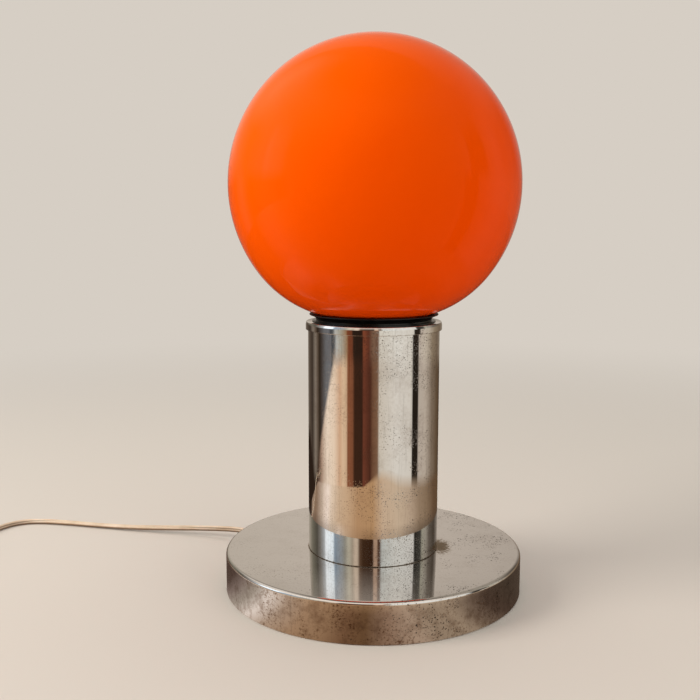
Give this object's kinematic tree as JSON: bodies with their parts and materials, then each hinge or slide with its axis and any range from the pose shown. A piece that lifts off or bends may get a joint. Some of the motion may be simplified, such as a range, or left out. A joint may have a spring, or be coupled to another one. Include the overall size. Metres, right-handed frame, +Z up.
{
  "type": "table lamp",
  "caption": "Table lamp: a glass globe screws into a gallery on a wide chromed tube that stands on a round weighted base, with a cord, in-line switch and plug.",
  "frame": {"origin": "middle of the underside of the felt, on the column's axis", "axes": "+Z up along the column; -Y towards the viewer of the picture; the cord leaves at the back left"},
  "size_m": [0.4819, 0.3162, 0.384],
  "materials": {
    "chrome": "polished chrome plate on spun steel, pitted with age",
    "steel": "zinc-plated mild steel",
    "cast_iron": "raw grey casting",
    "brass": "bright rolled brass",
    "rubber": "matt black moulded rubber",
    "phenolic": "black compression-moulded phenolic",
    "porcelain": null,
    "opal_glass": "orange cased opal glass, blown and fire polished",
    "lamp_glass": "frosted clear glass",
    "clear_glass": "clear glass stem",
    "black_glass": "fused black glass insulator",
    "tungsten": "drawn wire",
    "felt": "pressed wool felt",
    "cord_pvc": "cream flexible vinyl, yellowed",
    "wire_pvc": "thin vinyl insulation",
    "cream_plastic": "cream moulded plastic",
    "nylon": "natural nylon",
    "nickel": "nickel-plated brass"
  },
  "bodies": {
    "root": {"felt_pad": "felt", "base_plate": "steel", "plate_screws": "steel", "plate_posts": "brass", "base_shell": "chrome", "ballast": "cast_iron", "strain_relief": "cream_plastic", "inner_cord": "cord_pvc", "cord_clamp": "nylon", "clamp_screw": "steel", "rod_washers": "steel", "rod_nuts": "steel", "tie_rod": "steel", "conductors": "wire_pvc", "column_foot": "steel", "column_tube": "chrome", "collar": "chrome", "gallery": "phenolic", "holder_dome": "phenolic", "holder_insert": "porcelain", "holder_sleeve": "phenolic", "screw_shell": "brass", "centre_contact": "brass", "terminals": "brass", "terminal_screws": "steel", "cord_lead": "cord_pvc", "switch_lower": "cream_plastic", "switch_upper": "cream_plastic", "rocker_cradle": "brass", "switch_screws": "steel", "cord_link": "cord_pvc", "cord_coil": "cord_pvc", "coil_tie": "nylon", "cord_tail": "cord_pvc", "plug_body": "cream_plastic", "plug_pins": "nickel"},
    "gasket_ring": {"gasket": "rubber"},
    "globe": {"globe_glass": "opal_glass", "globe_neck": "opal_glass"},
    "bulb_tip": {"bulb_contact": "brass"},
    "bulb": {"bulb_glass": "lamp_glass", "bulb_cap": "nickel", "bulb_insulator": "black_glass", "bulb_stem": "clear_glass", "filament": "tungsten"},
    "rocker": {"switch_rocker": "cream_plastic"}
  },
  "joints": [
    {"name": "globe_lift", "type": "slide", "parent": "root", "child": "gasket_ring", "axis": [0, 0, 1], "range_m": [0, 0.0062]},
    {"name": "globe_turn", "type": "hinge", "parent": "gasket_ring", "child": "globe", "pos_m": [0, 0, 0.19], "axis": [0, 0, 1], "range_deg": [0, 360]},
    {"name": "bulb_lift", "type": "slide", "parent": "root", "child": "bulb_tip", "axis": [0, 0, 1], "range_m": [0, 0.0074]},
    {"name": "bulb_turn", "type": "hinge", "parent": "bulb_tip", "child": "bulb", "pos_m": [0, 0, 0.21], "axis": [0, 0, 1], "range_deg": [0, 720]},
    {"name": "rocker_press", "type": "hinge", "parent": "root", "child": "rocker", "pos_m": [-0.35069, 0.00689, 0.013], "axis": [0.9551, -0.2964, 0], "range_deg": [0, 14]}
  ],
  "couplings": [
    {"joint": "globe_lift", "follows": "globe_turn", "m_per_rad": 0.00095493},
    {"joint": "bulb_lift", "follows": "bulb_turn", "m_per_rad": 0.00057757}
  ]
}
